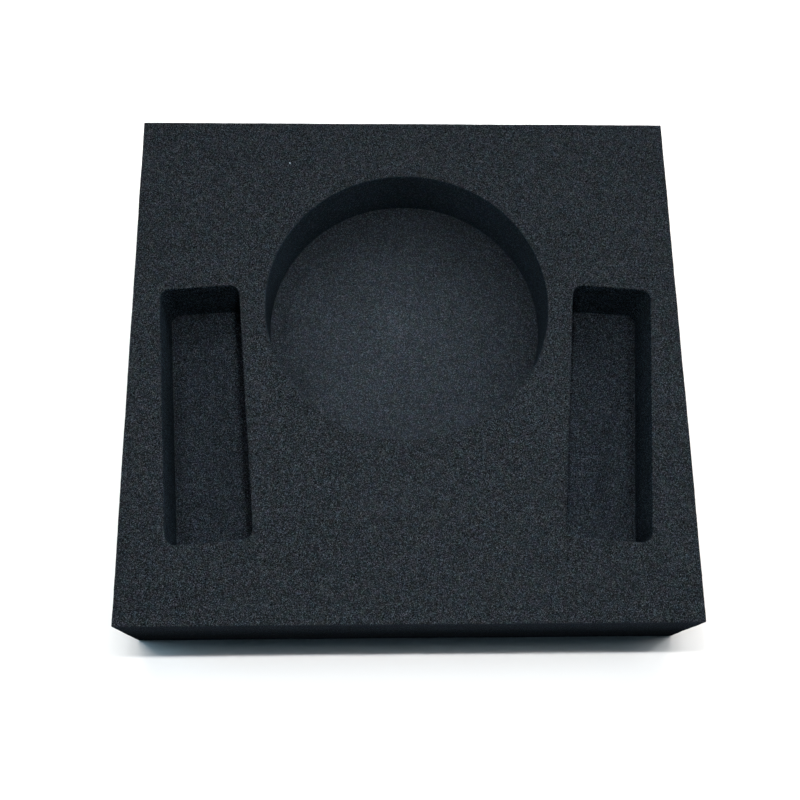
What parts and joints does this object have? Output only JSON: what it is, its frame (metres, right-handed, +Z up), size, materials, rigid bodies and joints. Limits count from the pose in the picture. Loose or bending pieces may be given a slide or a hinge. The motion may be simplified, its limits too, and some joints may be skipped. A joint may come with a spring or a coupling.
{
  "type": "anti-static foam tray",
  "caption": "Square-edged block of black anti-static foam with a round pocket between leaning side pockets, all open at the top, to cradle small parts.",
  "frame": {"origin": "middle of the underside of the block", "axes": "+X to the right along the longer side, +Y towards the back where the round pocket lies, +Z up out of the pockets"},
  "size_m": [0.215, 0.2056, 0.05],
  "materials": {
    "foam": "cut closed-cell foam, fine grain, dull; routed pocket floors a little smoother"
  },
  "bodies": {
    "root": {"foam_tray": "foam"}
  },
  "joints": []
}
